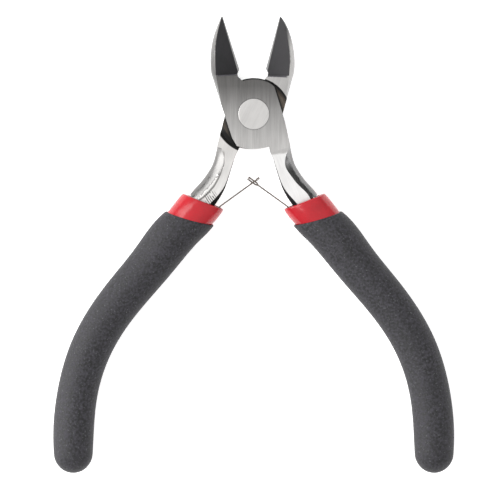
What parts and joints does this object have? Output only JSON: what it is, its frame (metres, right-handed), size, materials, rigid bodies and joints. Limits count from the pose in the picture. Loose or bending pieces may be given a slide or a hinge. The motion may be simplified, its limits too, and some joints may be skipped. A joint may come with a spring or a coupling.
{
  "type": "flush cut pliers",
  "caption": "Small sprung flush cut pliers with a lap joint, crossed leaf springs and sleeved, dip-textured handles, lying open.",
  "frame": {"origin": "centre of the pivot rivet in the flat back face of the joint", "axes": "+X to the right, +Y towards the jaws, +Z along the pivot axis out of the front face; the pliers lie flat and open"},
  "size_m": [0.0922, 0.1051, 0.0098],
  "materials": {
    "forged_steel": "ground faces, satin",
    "rivet_steel": "ground flush, satin",
    "spring_steel": "polished strip",
    "red_vinyl": "glossy dipped vinyl",
    "black_vinyl": "fine sandy texture, matt"
  },
  "bodies": {
    "front_body": {"front_half": "forged_steel", "pivot_rivet": "rivet_steel", "right_spring_root": "spring_steel", "right_spring_rivet": "rivet_steel", "right_inner_sleeve": "red_vinyl", "right_outer_grip": "black_vinyl"},
    "back_body": {"back_half": "forged_steel", "left_spring_root": "spring_steel", "left_spring_rivet": "rivet_steel", "left_inner_sleeve": "red_vinyl", "left_outer_grip": "black_vinyl"},
    "right_leaf": {"right_spring_leaf": "spring_steel"},
    "left_leaf": {"left_spring_leaf": "spring_steel"}
  },
  "joints": [
    {"name": "pivot", "type": "hinge", "parent": "front_body", "child": "back_body", "pos_m": [0, 0, 0.0032], "axis": [0, 0, 1], "range_deg": [-4, 32.1], "stiffness_Nm_per_rad": 0.25},
    {"name": "left_leaf_flex", "type": "hinge", "parent": "back_body", "child": "left_leaf", "pos_m": [-0.00986, -0.02267, 0.0032], "axis": [0, 0, 1], "range_deg": [-2.6, 21.3]},
    {"name": "right_leaf_flex", "type": "hinge", "parent": "front_body", "child": "right_leaf", "pos_m": [0.00986, -0.02267, 0.0032], "axis": [0, 0, 1], "range_deg": [-21.3, 2.6]}
  ],
  "couplings": [
    {"joint": "left_leaf_flex", "follows": "pivot", "ratio": 0.644},
    {"joint": "right_leaf_flex", "follows": "pivot", "ratio": -0.644}
  ]
}
